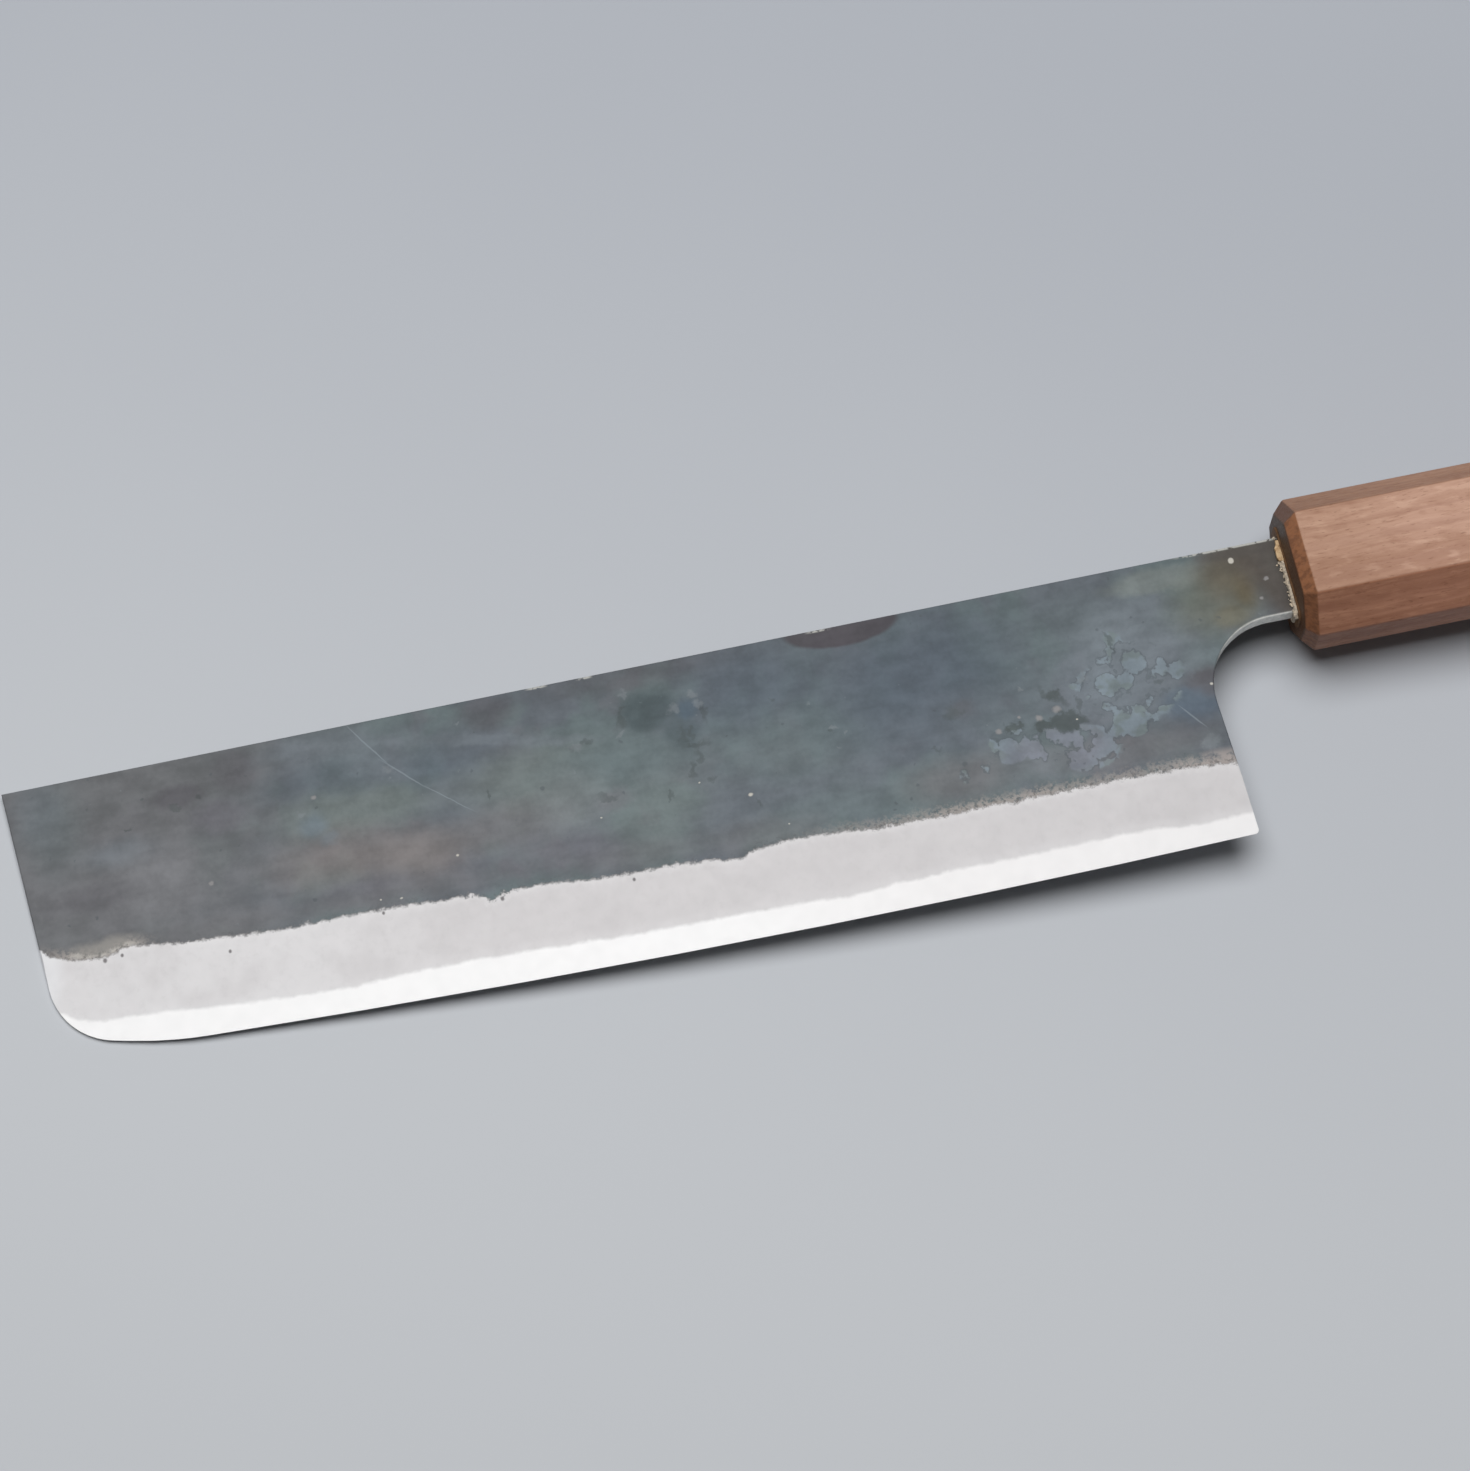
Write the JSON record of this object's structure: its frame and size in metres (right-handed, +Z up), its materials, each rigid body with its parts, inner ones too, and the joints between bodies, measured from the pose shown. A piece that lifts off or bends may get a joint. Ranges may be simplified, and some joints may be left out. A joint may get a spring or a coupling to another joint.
{
  "type": "nakiri knife",
  "caption": "Vegetable knife with a tall straight-edged blade bevelled on both sides, forge scale on its flats, a bare neck with a finger notch, and a wooden octagonal handle.",
  "frame": {"origin": "on the surface that the knife lies on, under the middle of the box round the whole knife", "axes": "+X from the blade's front end to the handle's butt, +Y from the edge to the spine, +Z up. The knife lies on its right side, on the blade's front end and the handle's front rim, so its own long axis rises 2.5 degrees towards the butt and it leans 0.7 degrees"},
  "size_m": [0.3668, 0.0583, 0.027],
  "materials": {
    "core_steel": "hard carbon steel, fine satin along the edge",
    "soft_iron": "soft iron, dark mottled forge scale on the flats, hazy satin on the ground bevel",
    "handle_wood": "walnut, sanded and oiled, open straight grain along the handle",
    "liner_wood": "pale softwood, bare",
    "filler": "hardened glue and wood dust, matt"
  },
  "bodies": {
    "root": {"core_steel": "core_steel", "cladding_left": "soft_iron", "cladding_right": "soft_iron", "handle": "handle_wood", "tang_liner": "liner_wood", "neck_bead": "filler"}
  },
  "joints": []
}
